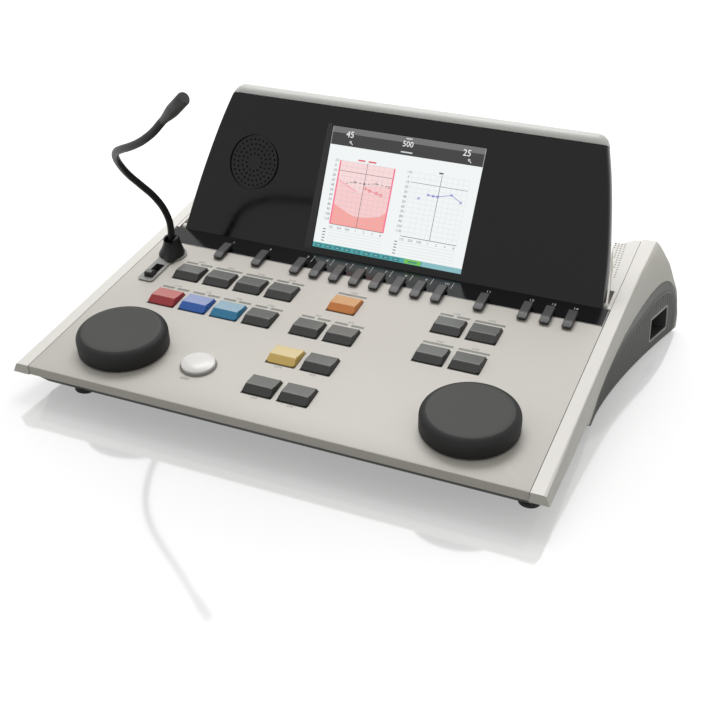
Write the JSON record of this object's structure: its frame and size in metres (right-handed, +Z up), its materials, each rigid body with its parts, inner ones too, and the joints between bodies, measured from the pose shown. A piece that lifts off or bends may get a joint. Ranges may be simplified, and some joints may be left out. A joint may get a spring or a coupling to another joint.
{
  "type": "desktop audiometer",
  "caption": "Desktop hearing tester: sloping control panel with keys and dials, glossy tilting display with loudspeaker, gooseneck microphone, ribbed side grips.",
  "frame": {"origin": "on the table, under the middle of the footprint", "axes": "+Z up, +Y from the user to the rear, +X to the user's right"},
  "size_m": [0.408, 0.304, 0.1977],
  "materials": {
    "base": "black matt moulding",
    "panel": "light warm grey, satin",
    "cheek": "off-white, satin",
    "grip": "charcoal, ribbed",
    "gloss_black": "deep gloss black",
    "board": "green circuit board",
    "plate_grey": "mid grey, satin",
    "neck_rubber": "smooth black rubber",
    "screen": "lit colour picture behind a matt cover",
    "head_black": "black, satin",
    "dial": "charcoal, matt",
    "key_dark": "charcoal, satin",
    "tone_white": "white, satin",
    "key_red": "red, satin",
    "key_blue": "blue, satin",
    "key_light_blue": "light blue, satin",
    "key_orange": "orange, satin",
    "key_yellow": "pale yellow, satin",
    "foot": "black rubber"
  },
  "bodies": {
    "body": {"base_tray": "base", "control_panel": "panel", "left_cheek": "cheek", "right_cheek": "cheek", "left_side_grip": "grip", "right_side_grip": "grip", "function_strip": "gloss_black", "rear_deck": "cheek", "foot_front_left": "foot", "foot_front_right": "foot", "foot_rear_left": "foot", "foot_rear_right": "foot", "control_board": "board", "socket_plate": "base", "mic_escutcheon": "plate_grey", "mic_boot": "neck_rubber"},
    "display": {"display_bezel": "gloss_black", "display_rear_shell": "gloss_black", "lcd_module": "screen", "loudspeaker": "base"},
    "neck_lower_body": {"neck_lower": "neck_rubber"},
    "neck_upper_body": {"neck_upper": "neck_rubber"},
    "mic_head_body": {"mic_head": "head_black"},
    "left_dial_body": {"left_dial": "dial"},
    "right_dial_body": {"right_dial": "dial"},
    "talk_slider_body": {"talk_slider": "key_dark"},
    "tone_button_body": {"tone_button": "tone_white"},
    "key_top_1_body": {"key_top_1": "key_dark"},
    "key_top_2_body": {"key_top_2": "key_dark"},
    "key_top_3_body": {"key_top_3": "key_dark"},
    "key_top_4_body": {"key_top_4": "key_dark"},
    "key_red_body": {"key_red": "key_red"},
    "key_blue_body": {"key_blue": "key_blue"},
    "key_light_blue_body": {"key_light_blue": "key_light_blue"},
    "key_second_4_body": {"key_second_4": "key_dark"},
    "key_orange_body": {"key_orange": "key_orange"},
    "key_middle_left_body": {"key_middle_left": "key_dark"},
    "key_middle_right_body": {"key_middle_right": "key_dark"},
    "key_yellow_body": {"key_yellow": "key_yellow"},
    "key_lower_right_body": {"key_lower_right": "key_dark"},
    "key_front_left_body": {"key_front_left": "key_dark"},
    "key_front_right_body": {"key_front_right": "key_dark"},
    "key_right_1_body": {"key_right_1": "key_dark"},
    "key_right_2_body": {"key_right_2": "key_dark"},
    "key_right_3_body": {"key_right_3": "key_dark"},
    "key_right_4_body": {"key_right_4": "key_dark"},
    "function_key_1_body": {"function_key_1": "key_dark"},
    "function_key_2_body": {"function_key_2": "key_dark"},
    "function_key_3_body": {"function_key_3": "key_dark"},
    "function_key_4_body": {"function_key_4": "key_dark"},
    "function_key_5_body": {"function_key_5": "key_dark"},
    "function_key_6_body": {"function_key_6": "key_dark"},
    "function_key_7_body": {"function_key_7": "key_dark"},
    "function_key_8_body": {"function_key_8": "key_dark"},
    "function_key_9_body": {"function_key_9": "key_dark"},
    "function_key_10_body": {"function_key_10": "key_dark"},
    "function_key_11_body": {"function_key_11": "key_dark"},
    "function_key_12_body": {"function_key_12": "key_dark"},
    "function_key_13_body": {"function_key_13": "key_dark"},
    "function_key_14_body": {"function_key_14": "key_dark"}
  },
  "joints": [
    {"name": "display_tilt", "type": "hinge", "parent": "body", "child": "display", "pos_m": [0.0013, 0.04845, 0.05123], "axis": [1, 0, 0], "range_deg": [-57.8, 15]},
    {"name": "neck_lower_bend", "type": "hinge", "parent": "body", "child": "neck_lower_body", "pos_m": [-0.1478, 0.00081, 0.06066], "axis": [1, 0, 0], "range_deg": [-45, 12]},
    {"name": "neck_upper_bend", "type": "hinge", "parent": "neck_lower_body", "child": "neck_upper_body", "pos_m": [-0.14324, -0.06687, 0.14342], "axis": [0.723, 0.6908, 0], "range_deg": [-35, 35]},
    {"name": "mic_head_bend", "type": "hinge", "parent": "neck_upper_body", "child": "mic_head_body", "pos_m": [-0.08771, -0.09832, 0.17756], "axis": [0.3057, 0.9521, 0], "range_deg": [-30, 30]},
    {"name": "left_dial_turn", "type": "hinge", "parent": "body", "child": "left_dial_body", "pos_m": [-0.12001, -0.11071, 0.03034], "axis": [0, -0.1564, 0.9877], "continuous": true},
    {"name": "right_dial_turn", "type": "hinge", "parent": "body", "child": "right_dial_body", "pos_m": [0.1191, -0.11071, 0.03034], "axis": [0, -0.1564, 0.9877], "continuous": true},
    {"name": "talk_slide", "type": "slide", "parent": "body", "child": "talk_slider_body", "axis": [0, 0.9877, 0.1564], "range_m": [0, 0.0108]},
    {"name": "tone_press", "type": "slide", "parent": "body", "child": "tone_button_body", "axis": [0, 0.1564, -0.9877], "range_m": [0, 0.001], "stiffness_N_per_m": 600, "springref_m": -0.0008},
    {"name": "key_top_1_press", "type": "slide", "parent": "body", "child": "key_top_1_body", "axis": [0, 0.1564, -0.9877], "range_m": [0, 0.001], "stiffness_N_per_m": 600, "springref_m": -0.0008},
    {"name": "key_top_2_press", "type": "slide", "parent": "body", "child": "key_top_2_body", "axis": [0, 0.1564, -0.9877], "range_m": [0, 0.001], "stiffness_N_per_m": 600, "springref_m": -0.0008},
    {"name": "key_top_3_press", "type": "slide", "parent": "body", "child": "key_top_3_body", "axis": [0, 0.1564, -0.9877], "range_m": [0, 0.001], "stiffness_N_per_m": 600, "springref_m": -0.0008},
    {"name": "key_top_4_press", "type": "slide", "parent": "body", "child": "key_top_4_body", "axis": [0, 0.1564, -0.9877], "range_m": [0, 0.001], "stiffness_N_per_m": 600, "springref_m": -0.0008},
    {"name": "key_red_press", "type": "slide", "parent": "body", "child": "key_red_body", "axis": [0, 0.1564, -0.9877], "range_m": [0, 0.001], "stiffness_N_per_m": 600, "springref_m": -0.0008},
    {"name": "key_blue_press", "type": "slide", "parent": "body", "child": "key_blue_body", "axis": [0, 0.1564, -0.9877], "range_m": [0, 0.001], "stiffness_N_per_m": 600, "springref_m": -0.0008},
    {"name": "key_light_blue_press", "type": "slide", "parent": "body", "child": "key_light_blue_body", "axis": [0, 0.1564, -0.9877], "range_m": [0, 0.001], "stiffness_N_per_m": 600, "springref_m": -0.0008},
    {"name": "key_second_4_press", "type": "slide", "parent": "body", "child": "key_second_4_body", "axis": [0, 0.1564, -0.9877], "range_m": [0, 0.001], "stiffness_N_per_m": 600, "springref_m": -0.0008},
    {"name": "key_orange_press", "type": "slide", "parent": "body", "child": "key_orange_body", "axis": [0, 0.1564, -0.9877], "range_m": [0, 0.001], "stiffness_N_per_m": 600, "springref_m": -0.0008},
    {"name": "key_middle_left_press", "type": "slide", "parent": "body", "child": "key_middle_left_body", "axis": [0, 0.1564, -0.9877], "range_m": [0, 0.001], "stiffness_N_per_m": 600, "springref_m": -0.0008},
    {"name": "key_middle_right_press", "type": "slide", "parent": "body", "child": "key_middle_right_body", "axis": [0, 0.1564, -0.9877], "range_m": [0, 0.001], "stiffness_N_per_m": 600, "springref_m": -0.0008},
    {"name": "key_yellow_press", "type": "slide", "parent": "body", "child": "key_yellow_body", "axis": [0, 0.1564, -0.9877], "range_m": [0, 0.001], "stiffness_N_per_m": 600, "springref_m": -0.0008},
    {"name": "key_lower_right_press", "type": "slide", "parent": "body", "child": "key_lower_right_body", "axis": [0, 0.1564, -0.9877], "range_m": [0, 0.001], "stiffness_N_per_m": 600, "springref_m": -0.0008},
    {"name": "key_front_left_press", "type": "slide", "parent": "body", "child": "key_front_left_body", "axis": [0, 0.1564, -0.9877], "range_m": [0, 0.001], "stiffness_N_per_m": 600, "springref_m": -0.0008},
    {"name": "key_front_right_press", "type": "slide", "parent": "body", "child": "key_front_right_body", "axis": [0, 0.1564, -0.9877], "range_m": [0, 0.001], "stiffness_N_per_m": 600, "springref_m": -0.0008},
    {"name": "key_right_1_press", "type": "slide", "parent": "body", "child": "key_right_1_body", "axis": [0, 0.1564, -0.9877], "range_m": [0, 0.001], "stiffness_N_per_m": 600, "springref_m": -0.0008},
    {"name": "key_right_2_press", "type": "slide", "parent": "body", "child": "key_right_2_body", "axis": [0, 0.1564, -0.9877], "range_m": [0, 0.001], "stiffness_N_per_m": 600, "springref_m": -0.0008},
    {"name": "key_right_3_press", "type": "slide", "parent": "body", "child": "key_right_3_body", "axis": [0, 0.1564, -0.9877], "range_m": [0, 0.001], "stiffness_N_per_m": 600, "springref_m": -0.0008},
    {"name": "key_right_4_press", "type": "slide", "parent": "body", "child": "key_right_4_body", "axis": [0, 0.1564, -0.9877], "range_m": [0, 0.001], "stiffness_N_per_m": 600, "springref_m": -0.0008},
    {"name": "function_key_1_press", "type": "slide", "parent": "body", "child": "function_key_1_body", "axis": [0, 0.1564, -0.9877], "range_m": [0, 0.0007], "stiffness_N_per_m": 600, "springref_m": -0.0008},
    {"name": "function_key_2_press", "type": "slide", "parent": "body", "child": "function_key_2_body", "axis": [0, 0.1564, -0.9877], "range_m": [0, 0.0007], "stiffness_N_per_m": 600, "springref_m": -0.0008},
    {"name": "function_key_3_press", "type": "slide", "parent": "body", "child": "function_key_3_body", "axis": [0, 0.1564, -0.9877], "range_m": [0, 0.0007], "stiffness_N_per_m": 600, "springref_m": -0.0008},
    {"name": "function_key_4_press", "type": "slide", "parent": "body", "child": "function_key_4_body", "axis": [0, 0.1564, -0.9877], "range_m": [0, 0.0007], "stiffness_N_per_m": 600, "springref_m": -0.0008},
    {"name": "function_key_5_press", "type": "slide", "parent": "body", "child": "function_key_5_body", "axis": [0, 0.1564, -0.9877], "range_m": [0, 0.0007], "stiffness_N_per_m": 600, "springref_m": -0.0008},
    {"name": "function_key_6_press", "type": "slide", "parent": "body", "child": "function_key_6_body", "axis": [0, 0.1564, -0.9877], "range_m": [0, 0.0007], "stiffness_N_per_m": 600, "springref_m": -0.0008},
    {"name": "function_key_7_press", "type": "slide", "parent": "body", "child": "function_key_7_body", "axis": [0, 0.1564, -0.9877], "range_m": [0, 0.0007], "stiffness_N_per_m": 600, "springref_m": -0.0008},
    {"name": "function_key_8_press", "type": "slide", "parent": "body", "child": "function_key_8_body", "axis": [0, 0.1564, -0.9877], "range_m": [0, 0.0007], "stiffness_N_per_m": 600, "springref_m": -0.0008},
    {"name": "function_key_9_press", "type": "slide", "parent": "body", "child": "function_key_9_body", "axis": [0, 0.1564, -0.9877], "range_m": [0, 0.0007], "stiffness_N_per_m": 600, "springref_m": -0.0008},
    {"name": "function_key_10_press", "type": "slide", "parent": "body", "child": "function_key_10_body", "axis": [0, 0.1564, -0.9877], "range_m": [0, 0.0007], "stiffness_N_per_m": 600, "springref_m": -0.0008},
    {"name": "function_key_11_press", "type": "slide", "parent": "body", "child": "function_key_11_body", "axis": [0, 0.1564, -0.9877], "range_m": [0, 0.0007], "stiffness_N_per_m": 600, "springref_m": -0.0008},
    {"name": "function_key_12_press", "type": "slide", "parent": "body", "child": "function_key_12_body", "axis": [0, 0.1564, -0.9877], "range_m": [0, 0.0007], "stiffness_N_per_m": 600, "springref_m": -0.0008},
    {"name": "function_key_13_press", "type": "slide", "parent": "body", "child": "function_key_13_body", "axis": [0, 0.1564, -0.9877], "range_m": [0, 0.0007], "stiffness_N_per_m": 600, "springref_m": -0.0008},
    {"name": "function_key_14_press", "type": "slide", "parent": "body", "child": "function_key_14_body", "axis": [0, 0.1564, -0.9877], "range_m": [0, 0.0007], "stiffness_N_per_m": 600, "springref_m": -0.0008}
  ]
}
